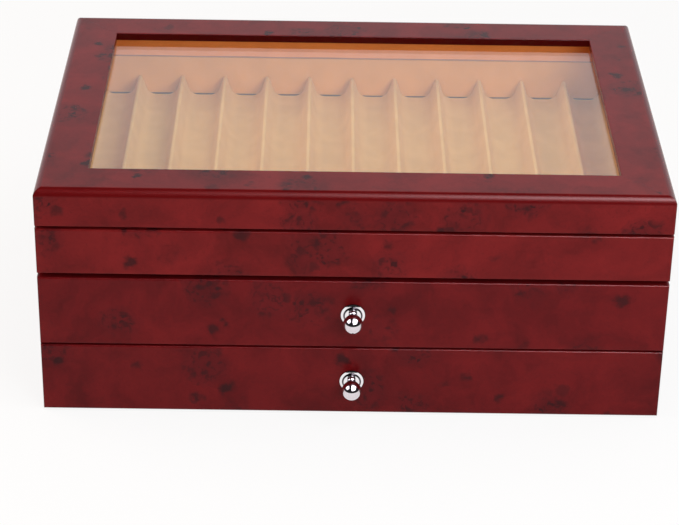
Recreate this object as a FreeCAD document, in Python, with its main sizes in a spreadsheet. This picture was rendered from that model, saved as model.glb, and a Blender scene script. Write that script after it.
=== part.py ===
"""Pen collector chest: a glass-topped lid, a fixed top compartment and two drawers.

X runs across the width, -Y is the front and +Z is up. The origin is the middle of the
rectangle that the chest covers, on the surface it stands on. All lengths are in mm.
"""
import FreeCAD, Part
import math
import os
import re
import Sketcher

Vector = FreeCAD.Vector
doc = FreeCAD.newDocument("pen_chest")

# ---------------------------------------------------------------------------------------
# Driving dimensions
# ---------------------------------------------------------------------------------------
SIZES = (
    # the whole chest
    ("chest_width", 340.0),
    ("chest_depth", 236.0),
    ("wall_thickness", 12.0),  # lacquered fibreboard of the walls, lid and drawer fronts
    ("edge_arris", 1.0),  # rounding of the lacquered outer edges
    # heights, from the table up
    ("felt_thickness", 0.8),
    ("front_height", 41.0),  # one drawer front
    ("front_gap", 0.9),  # between the two drawer fronts
    ("tier_gap", 2.5),  # between the upper drawer front and the top compartment
    ("tier_height", 27.0),  # front wall of the top compartment
    ("lid_gap", 1.4),
    ("lid_height", 21.8),
    # carcass boards
    ("felt_inset", 3.0),
    ("base_thickness", 5.0),
    ("divider_thickness", 5.0),
    ("floor_thickness", 5.0),  # floor of the top compartment
    ("floor_lap", 0.6),  # how far that floor rises behind the compartment's front wall
    ("housing_depth", 3.0),  # grooves in the walls that hold the boards
    # lid
    ("rail_width", 27.0),
    ("lid_roundover", 4.5),
    ("lip_thickness", 4.4),  # wood above the glass
    ("window_arris", 0.6),
    ("glass_thickness", 3.0),
    ("glass_play", 0.2),  # groove height over the glass
    ("glass_bite", 4.0),  # groove depth in the rail
    ("glass_margin", 0.5),  # room round the edge of the glass
    ("lid_opening", 95.0),  # degrees, at the hinge stops
    # linings and pen trays
    ("lining_thickness", 1.0),
    ("lining_seam", 0.4),  # between the lid's lining and the compartment's
    ("tray_side_gap", 0.3),
    ("tray_end_gap", 1.2),
    ("channel_depth", 12.5),
    ("channel_web", 2.0),  # tray left under a channel
    ("channel_radius", 4.0),
    ("channel_draft", 22.0),  # degrees that a channel's side leans
    ("ridge_radius", 1.0),
    ("ridge_flat", 0.4),
    ("top_channels", 12),
    ("drawer_channels", 11),
    # drawers
    ("slide_gap", 0.3),  # under a drawer and behind its front
    ("drawer_side_gap", 0.75),
    ("drawer_back_gap", 2.0),
    ("drawer_wall", 6.0),
    ("drawer_rim_drop", 10.0),  # drawer sides are this much lower than the front
    ("drawer_board", 3.0),  # thickness of a drawer's bottom
    ("drawer_board_lift", 3.0),
    ("drawer_groove", 3.0),
    ("lining_rim_drop", 1.0),  # a drawer's lining stops this far under the rim
    # knobs
    ("plate_diameter", 13.2),
    ("plate_thickness", 2.0),
    ("plate_rim", 0.5),  # thickness at the edge of the plate's sloping flange
    ("plate_dome_radius", 18.0),
    ("plate_step_diameter", 10.0),  # where the raised dome starts
    ("plate_step_reach", 1.0),
    ("plate_step_height", 0.35),
    ("neck_diameter", 4.6),
    ("ball_diameter", 10.8),
    ("ball_reach", 10.2),  # drawer front to ball centre
    ("thread_diameter", 2.5),
    ("thread_depth", 7.0),
    ("screw_play", 0.1),  # on the diameter of every screw hole
    ("pan_head_diameter", 5.0),
    ("pan_head_height", 1.8),
    ("counterbore_diameter", 6.5),
    ("counterbore_depth", 2.2),
    # hinges
    ("hinge_spread", 210.0),  # between the two hinges' middles
    ("leaf_length", 30.0),
    ("leaf_depth", 9.0),
    ("leaf_thickness", 0.8),
    ("leaf_gap", 0.3),  # between the closed leaves
    ("barrel_diameter", 4.4),
    ("barrel_gap", 0.3),  # between the barrel and the chest's back
    ("pin_diameter", 2.2),
    ("pin_play", 0.1),  # on the diameter
    ("pin_head_diameter", 3.2),
    ("pin_head_height", 0.6),
    ("knuckle_length", 10.0),  # the lid's middle knuckle
    ("knuckle_play", 0.2),
    ("flange_drop", 12.0),  # stop flange down the chest's back
    ("heel_length", 4.0),  # stop heel, from the pin's centre
    ("heel_thickness", 1.0),
    ("heel_play", 0.15),  # left between heel and flange when the lid is open
    ("wood_screw_diameter", 2.0),
    ("wood_screw_head", 3.6),
    ("wood_screw_length", 9.0),
    ("wood_screw_spread", 18.0),
    # clear bumpers under the lid
    ("bumper_diameter", 6.0),
    ("bumper_setback", 8.0),  # front face to a bumper's middle
    ("bumper_play", 0.3),
    ("bumper_inset", 9.0),
)

# Places that follow from the driving dimensions, each a formula of size and place names.
PLACES = {
    "half_width": "chest_width / 2",
    "half_depth": "chest_depth / 2",
    "inner_x": "half_width - wall_thickness",
    "inner_y": "half_depth - wall_thickness",
    "housed_x": "inner_x + housing_depth",
    "housed_y": "inner_y + housing_depth",
    # levels
    "base_top": "felt_thickness + base_thickness",
    "split_z": "felt_thickness + front_height + front_gap / 2",
    "divider_z": "split_z - divider_thickness / 2",
    "divider_top": "split_z + divider_thickness / 2",
    "upper_z": "felt_thickness + front_height + front_gap",
    "tier_z": "upper_z + front_height + tier_gap",
    "tier_top": "tier_z + tier_height",
    "floor_top": "tier_z + floor_lap",
    "floor_z": "floor_top - floor_thickness",
    "lid_z": "tier_top + lid_gap",
    "lid_top": "lid_z + lid_height",
    "glass_top": "lid_top - lip_thickness",
    "glass_z": "glass_top - glass_thickness",
    "groove_z": "glass_z - glass_play",
    # linings
    "lined_x": "inner_x - lining_thickness",
    "lined_y": "inner_y - lining_thickness",
    # pen channels
    "bend_rise": "channel_radius * (1 - sin(channel_draft))",
    "bend_run": "channel_radius * cos(channel_draft)",
    "ridge_rise": "ridge_radius * (1 - sin(channel_draft))",
    "ridge_run": "ridge_radius * cos(channel_draft)",
    "side_run": "(channel_depth - bend_rise - ridge_rise) * tan(channel_draft)",
    "tray_height": "channel_web + channel_depth",
    # drawers
    "drawer_front_y": "inner_y + slide_gap",
    "drawer_x": "inner_x - drawer_side_gap",
    "drawer_inner_x": "drawer_x - drawer_wall",
    "drawer_lined_x": "drawer_inner_x - lining_thickness",
    "drawer_back_y": "inner_y - drawer_back_gap",
    "drawer_inner_y": "drawer_back_y - drawer_wall",
    "drawer_side_height": "front_height - drawer_rim_drop",
    # knobs
    "neck_reach": "ball_reach - sqrt(ball_diameter ^ 2 - neck_diameter ^ 2) / 2",
    # hinges
    "hinge_x": "hinge_spread / 2",
    "hinge_y": "half_depth + barrel_gap + barrel_diameter / 2",
    "hinge_z": "lid_z - lid_gap / 2",
    "mortise_depth": "leaf_thickness - (lid_gap - leaf_gap) / 2",
    "leaf_end_y": "hinge_y - (barrel_diameter + pin_diameter) / 4",
    "knuckle_room": "barrel_diameter / 2 + knuckle_play",
    "screw_y": "half_depth - leaf_depth / 2",
    "bumper_x": "half_width - bumper_inset",
    "bumper_y": "half_depth - bumper_setback",
}

sheet = doc.addObject("Spreadsheet::Sheet", "sizes")
for row, (alias, amount) in enumerate(SIZES, 1):
    sheet.set(f"A{row}", alias)
    sheet.set(f"B{row}", str(amount))
    sheet.setAlias(f"B{row}", alias)
doc.recompute()


def formula(text):
    """Spell a formula of size and place names as an expression on the sheet."""

    def spell(match):
        word = match.group()
        return f"({formula(PLACES[word])})" if word in PLACES else f"sizes.{word}"

    return re.sub(r"[a-z]+(?:_[a-z]+)+", spell, text)


def amount_of(text):
    """The present number of a formula."""
    return float(sheet.evalExpression(formula(text)))


# ---------------------------------------------------------------------------------------
# Ways of drawing and shaping
# ---------------------------------------------------------------------------------------
sub_parts = []


def new_body(label):
    body = doc.addObject("PartDesign::Body", label)
    body.Label = label
    return body


def finish(part):
    """Put a finished sub-part on the list of pieces to write out."""
    sub_parts.append(part)
    return part


def origin_feature(body, role):
    return next(item for item in body.Origin.OriginFeatures if item.Role == role)


def new_sketch(body, plane, place=("0", "0", "0")):
    """A sketch on one of the body's own planes, its origin moved to place.

    place is given in the plane's own axes: along it, up it and out of it.
    """
    sketch = body.newObject("Sketcher::SketchObject", f"{body.Label}_sketch")
    sketch.AttachmentSupport = [(origin_feature(body, plane), "")]
    sketch.MapMode = "FlatFace"
    for axis, text in zip("xyz", place):
        if text != "0":
            sketch.setExpression(f"AttachmentOffset.Base.{axis}", formula(text))
    return sketch


def bind(sketch, constraint, text):
    index = sketch.addConstraint(constraint)
    sketch.setExpression(f"Constraints[{index}]", formula(text))


def pin_point(sketch, element, end, place):
    """Hold one point of a sketch at a place given by two formulas."""
    for kind, text in zip(("DistanceX", "DistanceY"), place):
        bind(sketch, Sketcher.Constraint(kind, -1, 1, element, end, amount_of(text)), text)


def arc_between(start, end, radius):
    """The short anticlockwise arc from one point to another."""
    chord = end - start
    towards_centre = Vector(-chord.y, chord.x, 0).normalize()
    rise = math.sqrt(radius**2 - (chord.Length / 2) ** 2)
    centre = (start + end) / 2 + towards_centre * rise
    angles = [math.atan2(point.y - centre.y, point.x - centre.x) for point in (start, end)]
    return Part.ArcOfCircle(Part.Circle(centre, Vector(0, 0, 1), radius), *angles)


def draw_outline(sketch, corners):
    """Draw a closed outline through corners, each (across, up) or (across, up, radius).

    A radius belongs to the arc that leads on to the next corner. A positive one turns
    anticlockwise and a negative one clockwise.
    """
    points = [Vector(amount_of(corner[0]), amount_of(corner[1]), 0) for corner in corners]
    starts = []  # which end of each line or arc the outline comes to first
    for index, corner in enumerate(corners):
        start, end = points[index], points[(index + 1) % len(points)]
        radius = amount_of(corner[2]) if len(corner) == 3 else 0
        if radius > 0:
            sketch.addGeometry(arc_between(start, end, radius), False)
        elif radius < 0:
            sketch.addGeometry(arc_between(end, start, -radius), False)
        else:
            sketch.addGeometry(Part.LineSegment(start, end), False)
        starts.append(2 if radius < 0 else 1)
    for index, corner in enumerate(corners):
        following = (index + 1) % len(corners)
        ends = (3 - starts[index], starts[following])
        joint = Sketcher.Constraint("Coincident", index, ends[0], following, ends[1])
        sketch.addConstraint(joint)
        pin_point(sketch, index, starts[index], corner[:2])
        if len(corner) == 3:
            radius = corner[2].lstrip("-")
            bind(sketch, Sketcher.Constraint("Radius", index, amount_of(radius)), radius)


def draw_rectangle(sketch, left, right, low, high):
    draw_outline(sketch, [(left, low), (right, low), (right, high), (left, high)])


def draw_circle(sketch, across, up, diameter):
    centre = Vector(amount_of(across), amount_of(up), 0)
    circle = Part.Circle(centre, Vector(0, 0, 1), amount_of(diameter) / 2)
    index = sketch.addGeometry(circle, False)
    pin_point(sketch, index, 3, (across, up))
    bind(sketch, Sketcher.Constraint("Diameter", index, amount_of(diameter)), diameter)


def extrude(body, kind, sketch, length):
    """Pad or pocket a sketch by length, half to each side of it."""
    feature = body.newObject(f"PartDesign::{kind}", f"{body.Label}_{kind.lower()}")
    feature.Profile = sketch
    feature.SideType = "Symmetric"
    feature.setExpression("Length", formula(length))
    return feature


def block(body, kind, left, right, front, back, low, high):
    """Add or cut a rectangular block between six planes."""
    sketch = new_sketch(body, "XY_Plane", ("0", "0", f"({low} + {high}) / 2"))
    draw_rectangle(sketch, left, right, front, back)
    return extrude(body, kind, sketch, f"{high} - ({low})")


def bore_across(body, across, up, diameter, front, back):
    """Cut a round hole that runs from front to back."""
    sketch = new_sketch(body, "XZ_Plane", ("0", "0", f"-({front} + {back}) / 2"))
    draw_circle(sketch, across, up, diameter)
    return extrude(body, "Pocket", sketch, f"{back} - ({front})")


def bore_down(body, across, along, diameter, low, high):
    """Cut a round upright hole."""
    sketch = new_sketch(body, "XY_Plane", ("0", "0", f"({low} + {high}) / 2"))
    draw_circle(sketch, across, along, diameter)
    return extrude(body, "Pocket", sketch, f"{high} - ({low})")


def turn(body, kind, plane, place, corners, axis="V_Axis"):
    """Revolve or groove an outline round an axis of its own sketch."""
    sketch = new_sketch(body, plane, place)
    draw_outline(sketch, corners)
    feature = body.newObject(f"PartDesign::{kind}", f"{body.Label}_{kind.lower()}")
    feature.Profile = sketch
    feature.ReferenceAxis = (sketch, [axis])
    feature.Angle = 360
    return feature


def copy_whole(body, kind):
    """A pattern or mirror of all that the body holds so far."""
    base = body.Tip
    feature = body.newObject(f"PartDesign::{kind}", f"{body.Label}_{kind.lower()}")
    feature.BaseFeature = base
    feature.TransformMode = "Whole shape"
    body.Tip = feature
    return feature


def mirror_left_to_right(body):
    feature = copy_whole(body, "Mirrored")
    feature.MirrorPlane = (origin_feature(body, "YZ_Plane"), [""])


def repeat_across(body, spacing):
    """Stand a second copy of the body's solid beside the first."""
    feature = copy_whole(body, "LinearPattern")
    feature.Direction = (origin_feature(body, "X_Axis"), [""])
    feature.setExpression("Length", formula(spacing))
    feature.Occurrences = 2


def round_edges(body, radius, wanted):
    """Round the edges whose middle and direction the test wanted accepts."""
    doc.recompute()
    base = body.Tip
    names = []
    for number, edge in enumerate(base.Shape.Edges, 1):
        middle = edge.valueAt((edge.FirstParameter + edge.LastParameter) / 2)
        way = edge.tangentAt((edge.FirstParameter + edge.LastParameter) / 2)
        if wanted(middle, way):
            names.append(f"Edge{number}")
    fillet = body.newObject("PartDesign::Fillet", f"{body.Label}_fillet")
    fillet.Base = (base, names)
    fillet.setExpression("Radius", formula(radius))
    return fillet


def box(label, left, right, front, back, low, high):
    """A plain rectangular piece between six planes."""
    piece = doc.addObject("Part::Box", label)
    piece.Label = label
    piece.setExpression("Length", formula(f"{right} - ({left})"))
    piece.setExpression("Width", formula(f"{back} - ({front})"))
    piece.setExpression("Height", formula(f"{high} - ({low})"))
    for axis, text in zip("xyz", (left, front, low)):
        piece.setExpression(f"Placement.Base.{axis}", formula(text))
    return piece


def group(label, pieces):
    """Separate like pieces that share one node."""
    bundle = doc.addObject("Part::Compound", label)
    bundle.Label = label
    bundle.Links = pieces
    return bundle


def near(first, text):
    return abs(first - amount_of(text)) < 0.01


# ---------------------------------------------------------------------------------------
# Carcass
# ---------------------------------------------------------------------------------------
def side_panel(label, outer, inner, housed):
    """An upright side, housed for the base, the divider and the compartment's floor."""
    body = new_body(label)
    block(body, "Pad", *sorted((outer, inner), key=amount_of), "-inner_y", "half_depth",
          "felt_thickness", "tier_top")
    groove = sorted((inner, housed), key=amount_of)
    for low, high in (
        ("felt_thickness", "base_top"),
        ("divider_z", "divider_top"),
        ("floor_z", "floor_top"),
    ):
        block(body, "Pocket", *groove, "-inner_y", "housed_y", low, high)
    round_edges(
        body, "edge_arris",
        lambda middle, way: abs(way.z) > 0.9 and near(middle.x, outer)
        and near(middle.y, "half_depth"),
    )
    return finish(body)


def back_panel():
    """The back, set between the sides, with its housings and the two hinge mortises."""
    body = new_body("back_panel")
    block(body, "Pad", "-inner_x", "inner_x", "inner_y", "half_depth",
          "felt_thickness", "tier_top")
    for low, high in (
        ("felt_thickness", "base_top"),
        ("divider_z", "divider_top"),
        ("floor_z", "floor_top"),
    ):
        block(body, "Pocket", "-inner_x", "inner_x", "inner_y", "housed_y", low, high)
    for hinge in ("hinge_x", "-hinge_x"):
        block(body, "Pocket", f"{hinge} - leaf_length / 2", f"{hinge} + leaf_length / 2",
              "half_depth - leaf_depth", "half_depth",
              "tier_top - mortise_depth", "tier_top")
        for side in ("-", "+"):
            bore_down(body, f"{hinge} {side} wood_screw_spread / 2", "screw_y",
                      "wood_screw_diameter + screw_play",
                      "hinge_z - leaf_gap / 2 - wood_screw_length", "tier_top")
    return finish(body)


def tier_front():
    """The compartment's front wall, which covers the ends of the sides."""
    body = new_body("tier_front")
    block(body, "Pad", "-half_width", "half_width", "-half_depth", "-inner_y",
          "tier_z", "tier_top")
    round_edges(body, "edge_arris", lambda middle, way: near(middle.y, "-half_depth"))
    return finish(body)


def carcass():
    side_panel("left_side", "-half_width", "-inner_x", "-housed_x")
    side_panel("right_side", "half_width", "inner_x", "housed_x")
    back_panel()
    tier_front()
    for label, low, high in (
        ("base_panel", "felt_thickness", "base_top"),
        ("drawer_divider", "divider_z", "divider_top"),
        ("tier_floor", "floor_z", "floor_top"),
    ):
        finish(box(label, "-housed_x", "housed_x", "-inner_y", "housed_y", low, high))
    finish(box("base_felt", "felt_inset - half_width", "half_width - felt_inset",
               "felt_inset - inner_y", "half_depth - felt_inset", "0", "felt_thickness"))


# ---------------------------------------------------------------------------------------
# Linings and pen trays
# ---------------------------------------------------------------------------------------
def lining_strips(prefix, low, high):
    """Four flocked strips round the inside of the walls, front and back ones full length."""
    strips = {
        "front": ("-inner_x", "inner_x", "-inner_y", "-lined_y"),
        "back": ("-inner_x", "inner_x", "lined_y", "inner_y"),
        "left": ("-inner_x", "-lined_x", "-lined_y", "lined_y"),
        "right": ("lined_x", "inner_x", "-lined_y", "lined_y"),
    }
    for side, walls in strips.items():
        finish(box(f"{prefix}_lining_{side}", *walls, low, high))


def pen_tray(label, half_width, front, back, low, channels):
    """A flocked tray with U-shaped channels side by side, parted by narrow round ridges."""
    body = new_body(label)
    pitch = f"(2 * ({half_width}) / {channels})"
    block(body, "Pad", f"-({half_width})", half_width, front, back, low,
          f"{low} + tray_height")
    first = f"{pitch} / 2 - ({half_width})"
    sketch = new_sketch(body, "XZ_Plane", (first, f"{low} + channel_web", "0"))
    mouth = f"({pitch} - ridge_flat) / 2"
    crest = f"({mouth} - ridge_run)"
    bend = f"({crest} - side_run)"
    flat = f"({bend} - bend_run)"
    shoulder = "channel_depth - ridge_rise"
    draw_outline(sketch, [
        (f"-{flat}", "0"),
        (flat, "0", "channel_radius"),
        (bend, "bend_rise"),
        (crest, shoulder, "-ridge_radius"),
        (mouth, "channel_depth"),
        (mouth, "channel_depth + ridge_radius"),
        (f"-{mouth}", "channel_depth + ridge_radius"),
        (f"-{mouth}", "channel_depth", "-ridge_radius"),
        (f"-{crest}", shoulder),
        (f"-{bend}", "bend_rise", "channel_radius"),
    ])
    channel = extrude(body, "Pocket", sketch, "chest_depth")
    row = body.newObject("PartDesign::LinearPattern", f"{label}_channels")
    row.Originals = [channel]
    row.Direction = (sketch, ["H_Axis"])
    row.setExpression("Length", formula(f"2 * ({half_width}) - {pitch}"))
    row.setExpression("Occurrences", formula(channels))
    body.Tip = row
    return finish(body)


# ---------------------------------------------------------------------------------------
# Lid
# ---------------------------------------------------------------------------------------
def lid_rail(label, run, length, turned_by):
    """One mitred rail of the lid, drawn as the front rail and turned into its place.

    run is the distance from the lid's middle to the rail's outer face.
    """
    body = new_body(label)
    sketch = new_sketch(body, "YZ_Plane")
    inward = f"-{run} + "
    draw_outline(sketch, [
        (f"{inward}edge_arris", "lid_z", "-edge_arris"),
        (f"-{run}", "lid_z + edge_arris"),
        (f"-{run}", "lid_top - lid_roundover", "-lid_roundover"),
        (f"{inward}lid_roundover", "lid_top"),
        (f"{inward}rail_width - window_arris", "lid_top", "-window_arris"),
        (f"{inward}rail_width", "lid_top - window_arris"),
        (f"{inward}rail_width", "glass_top"),
        (f"{inward}wall_thickness - glass_bite", "glass_top"),
        (f"{inward}wall_thickness - glass_bite", "groove_z"),
        (f"{inward}wall_thickness", "groove_z"),
        (f"{inward}wall_thickness", "lid_z"),
    ])
    extrude(body, "Pad", sketch, length)
    for sign in ("-", ""):
        end = f"{sign}({length} / 2"
        mitre = new_sketch(body, "XY_Plane", ("0", "0", "lid_z"))
        draw_outline(mitre, [
            (f"{end})", f"-{run}"),
            (f"{end} - rail_width)", f"{inward}rail_width"),
            (f"{end})", f"{inward}rail_width"),
        ])
        extrude(body, "Pocket", mitre, "3 * lid_height")
        corner = new_sketch(body, "XY_Plane", ("0", "0", "lid_z"))
        radius = "edge_arris" if sign else "-edge_arris"
        draw_outline(corner, [
            (f"{end})", f"-{run}"),
            (f"{end})", f"{inward}edge_arris", radius),
            (f"{end} - edge_arris)", f"-{run}"),
        ])
        extrude(body, "Pocket", corner, "3 * lid_height")
    body.Placement.Rotation = FreeCAD.Rotation(Vector(0, 0, 1), turned_by)
    return body


def lid_back_rail():
    """The back rail has the upper hinge mortises and their screw holes."""
    body = lid_rail("lid_back_rail", "half_depth", "chest_width", 180)
    for hinge in ("hinge_x", "-hinge_x"):
        block(body, "Pocket", f"{hinge} - leaf_length / 2", f"{hinge} + leaf_length / 2",
              "-half_depth", "leaf_depth - half_depth", "lid_z", "lid_z + mortise_depth")
        for side in ("-", "+"):
            bore_down(body, f"{hinge} {side} wood_screw_spread / 2", "-screw_y",
                      "wood_screw_diameter + screw_play", "lid_z",
                      "hinge_z + leaf_gap / 2 + wood_screw_length")
    return finish(body)


def lid():
    finish(lid_rail("lid_front_rail", "half_depth", "chest_width", 0))
    finish(lid_rail("lid_right_rail", "half_width", "chest_depth", 90))
    lid_back_rail()
    finish(lid_rail("lid_left_rail", "half_width", "chest_depth", 270))
    reach = "glass_bite - glass_margin"
    finish(box("lid_glass", f"-(inner_x + {reach})", f"inner_x + {reach}",
               f"-(inner_y + {reach})", f"inner_y + {reach}", "glass_z", "glass_top"))
    lining_strips("lid", "tier_top + lining_seam", "groove_z")


def lid_bumpers():
    """Two clear soft dots that keep the lid off the compartment's front wall."""
    body = new_body("lid_bumpers")
    turn(body, "Revolution", "XZ_Plane", ("bumper_x", "tier_top", "bumper_y"), [
        ("0", "0"),
        ("bumper_diameter / 2", "0"),
        ("bumper_diameter / 2 - (lid_gap - bumper_play) / 2", "lid_gap - bumper_play"),
        ("0", "lid_gap - bumper_play"),
    ])
    mirror_left_to_right(body)
    return finish(body)


# ---------------------------------------------------------------------------------------
# Drawers and knobs
# ---------------------------------------------------------------------------------------
def drawer_front(prefix, front_z, board_z):
    """The overlay front, grooved for the bottom and bored for the knob's screw."""
    body = new_body(f"{prefix}_front")
    block(body, "Pad", "-half_width", "half_width", "-half_depth", "-drawer_front_y",
          front_z, f"{front_z} + front_height")
    round_edges(body, "edge_arris", lambda middle, way: near(middle.y, "-half_depth"))
    block(body, "Pocket", "-(drawer_inner_x + drawer_groove)",
          "drawer_inner_x + drawer_groove", "-(drawer_front_y + drawer_groove)",
          "-drawer_front_y", board_z, f"{board_z} + drawer_board")
    knob_z = f"{front_z} + front_height / 2"
    bore_across(body, "0", knob_z, "thread_diameter + screw_play",
                "-half_depth", "-drawer_front_y")
    bore_across(body, "0", knob_z, "counterbore_diameter",
                "-(drawer_front_y + counterbore_depth)", "-drawer_front_y")
    return finish(body)


def drawer_side(label, outer, inner, grooved, low, board_z):
    body = new_body(label)
    block(body, "Pad", *sorted((outer, inner), key=amount_of), "-drawer_front_y",
          "drawer_back_y", low, f"{low} + drawer_side_height")
    block(body, "Pocket", *sorted((inner, grooved), key=amount_of), "-drawer_front_y",
          "drawer_inner_y + drawer_groove", board_z, f"{board_z} + drawer_board")
    return finish(body)


def drawer_back(label, low, board_z):
    body = new_body(label)
    block(body, "Pad", "-drawer_inner_x", "drawer_inner_x", "drawer_inner_y",
          "drawer_back_y", low, f"{low} + drawer_side_height")
    block(body, "Pocket", "-drawer_inner_x", "drawer_inner_x", "drawer_inner_y",
          "drawer_inner_y + drawer_groove", board_z, f"{board_z} + drawer_board")
    return finish(body)


def drawer_lining(label, low, high):
    """Four strips round the inside of one drawer."""
    front, back = "-drawer_front_y", "drawer_inner_y"
    walls = (
        ("-drawer_inner_x", "drawer_inner_x", front, f"{front} + lining_thickness"),
        ("-drawer_inner_x", "drawer_inner_x", f"{back} - lining_thickness", back),
        ("-drawer_inner_x", "-drawer_lined_x",
         f"{front} + lining_thickness", f"{back} - lining_thickness"),
        ("drawer_lined_x", "drawer_inner_x",
         f"{front} + lining_thickness", f"{back} - lining_thickness"),
    )
    strips = [
        box(f"{label}_strip{number}", *wall, low, high)
        for number, wall in enumerate(walls, 1)
    ]
    return finish(group(label, strips))


def knob_plate(label, knob_z):
    """The round plate between the drawer front and the knob: a flange and a raised dome."""
    body = new_body(label)
    hole = "(thread_diameter + screw_play) / 2"
    turn(body, "Revolution", "XY_Plane", ("0", "-half_depth", knob_z), [
        (hole, "0"),
        ("plate_diameter / 2", "0"),
        ("plate_diameter / 2", "-plate_rim", "-plate_dome_radius"),
        ("plate_step_diameter / 2", "-plate_step_reach"),
        (
            "plate_step_diameter / 2 - plate_step_height",
            "-(plate_step_reach + plate_step_height)",
            "-plate_dome_radius",
        ),
        ("neck_diameter / 2", "-plate_thickness"),
        (hole, "-plate_thickness"),
    ])
    return finish(body)


def knob(label, knob_z):
    """The turned ball and its neck in one piece, with a blind threaded hole."""
    body = new_body(label)
    hole = "(thread_diameter + screw_play) / 2"
    turn(body, "Revolution", "XY_Plane", ("0", "-half_depth", knob_z), [
        (hole, "-plate_thickness"),
        ("neck_diameter / 2", "-plate_thickness"),
        ("neck_diameter / 2", "-neck_reach", "-ball_diameter / 2"),
        ("ball_diameter / 2", "-ball_reach", "-ball_diameter / 2"),
        ("0", "-(ball_reach + ball_diameter / 2)"),
        ("0", "-(plate_thickness + thread_depth)"),
        (hole, "-(plate_thickness + thread_depth)"),
    ])
    return finish(body)


def knob_screw(label, knob_z):
    """The machine screw that holds the knob from inside the drawer front."""
    body = new_body(label)
    under_head = "(half_depth - drawer_front_y - counterbore_depth)"
    turn(body, "Revolution", "XY_Plane", ("0", "-half_depth", knob_z), [
        ("0", f"{under_head} + pan_head_height"),
        ("0", "-(plate_thickness + thread_depth - thread_diameter / 2)"),
        ("thread_diameter / 2", "-(plate_thickness + thread_depth - thread_diameter / 2)"),
        ("thread_diameter / 2", under_head),
        ("pan_head_diameter / 2", under_head),
        ("pan_head_diameter / 2", f"{under_head} + pan_head_height / 2"),
        ("pan_head_diameter / 3", f"{under_head} + pan_head_height"),
    ])
    return finish(body)


def drawer(prefix, front_z, shelf_z):
    """One whole drawer. shelf_z is the board it slides on."""
    low = f"({shelf_z} + slide_gap)"
    board_z = f"({low} + drawer_board_lift)"
    board_top = f"({board_z} + drawer_board)"
    knob_z = f"{front_z} + front_height / 2"
    drawer_front(prefix, front_z, board_z)
    grooved = "drawer_inner_x + drawer_groove"
    drawer_side(f"{prefix}_left_side", "-drawer_x", "-drawer_inner_x", f"-({grooved})",
                low, board_z)
    drawer_side(f"{prefix}_right_side", "drawer_x", "drawer_inner_x", grooved,
                low, board_z)
    drawer_back(f"{prefix}_back", low, board_z)
    finish(box(f"{prefix}_bottom", f"-({grooved})", grooved,
               "-(drawer_front_y + drawer_groove)", "drawer_inner_y + drawer_groove",
               board_z, board_top))
    drawer_lining(f"{prefix}_lining", board_top,
                  f"{low} + drawer_side_height - lining_rim_drop")
    pen_tray(f"{prefix}_pen_tray", "drawer_lined_x - tray_side_gap",
             "lining_thickness + tray_end_gap - drawer_front_y",
             "drawer_inner_y - lining_thickness - tray_end_gap",
             board_top, "drawer_channels")
    knob_plate(f"{prefix}_knob_plate", knob_z)
    knob(f"{prefix}_knob", knob_z)
    knob_screw(f"{prefix}_knob_screw", knob_z)


# ---------------------------------------------------------------------------------------
# Hinges
# ---------------------------------------------------------------------------------------
def barrel(body):
    sketch = new_sketch(body, "YZ_Plane", ("0", "0", "hinge_x"))
    draw_circle(sketch, "hinge_y", "hinge_z", "barrel_diameter")
    draw_circle(sketch, "hinge_y", "hinge_z", "pin_diameter + pin_play")
    return extrude(body, "Pad", sketch, "leaf_length")


def countersink(body, way):
    """Two countersunk screw holes in a leaf. way is + or -, the way the screws point."""
    slope = "(wood_screw_head - wood_screw_diameter) / 2"
    head = "(wood_screw_head + screw_play) / 2"
    shank = "(wood_screw_diameter + screw_play) / 2"
    face = f"hinge_z {way} leaf_gap / 2"
    for side in ("-", "+"):
        place = (f"hinge_x {side} wood_screw_spread / 2", face, "-screw_y")
        turn(body, "Groove", "XZ_Plane", place, [
            ("0", "0"),
            (head, "0"),
            (shank, f"{way}({slope})"),
            (shank, f"{way}(2 * leaf_thickness)"),
            ("0", f"{way}(2 * leaf_thickness)"),
        ])


def base_leaves():
    """The lower leaves: a plate, two outer knuckles and a flange down the chest's back."""
    body = new_body("hinge_base_leaves")
    block(body, "Pad", "hinge_x - leaf_length / 2", "hinge_x + leaf_length / 2",
          "half_depth - leaf_depth", "leaf_end_y",
          "hinge_z - leaf_gap / 2 - leaf_thickness", "hinge_z - leaf_gap / 2")
    barrel(body)
    block(body, "Pocket", "hinge_x - knuckle_length / 2 - knuckle_play",
          "hinge_x + knuckle_length / 2 + knuckle_play",
          "hinge_y - knuckle_room", "hinge_y + knuckle_room",
          "hinge_z - knuckle_room", "hinge_z + knuckle_room")
    flange = new_sketch(body, "XZ_Plane", ("0", "0", "-half_depth - leaf_thickness / 2"))
    top = "hinge_z - leaf_gap / 2"
    slot = "hinge_z - knuckle_room"
    draw_outline(flange, [
        ("hinge_x - leaf_length / 2", top),
        ("hinge_x - knuckle_length / 2 - knuckle_play", top),
        ("hinge_x - knuckle_length / 2 - knuckle_play", slot),
        ("hinge_x + knuckle_length / 2 + knuckle_play", slot),
        ("hinge_x + knuckle_length / 2 + knuckle_play", top),
        ("hinge_x + leaf_length / 2", top),
        ("hinge_x + leaf_length / 2", f"{top} - flange_drop"),
        ("hinge_x - leaf_length / 2", f"{top} - flange_drop"),
    ])
    extrude(body, "Pad", flange, "leaf_thickness")
    countersink(body, "-")
    mirror_left_to_right(body)
    return finish(body)


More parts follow.
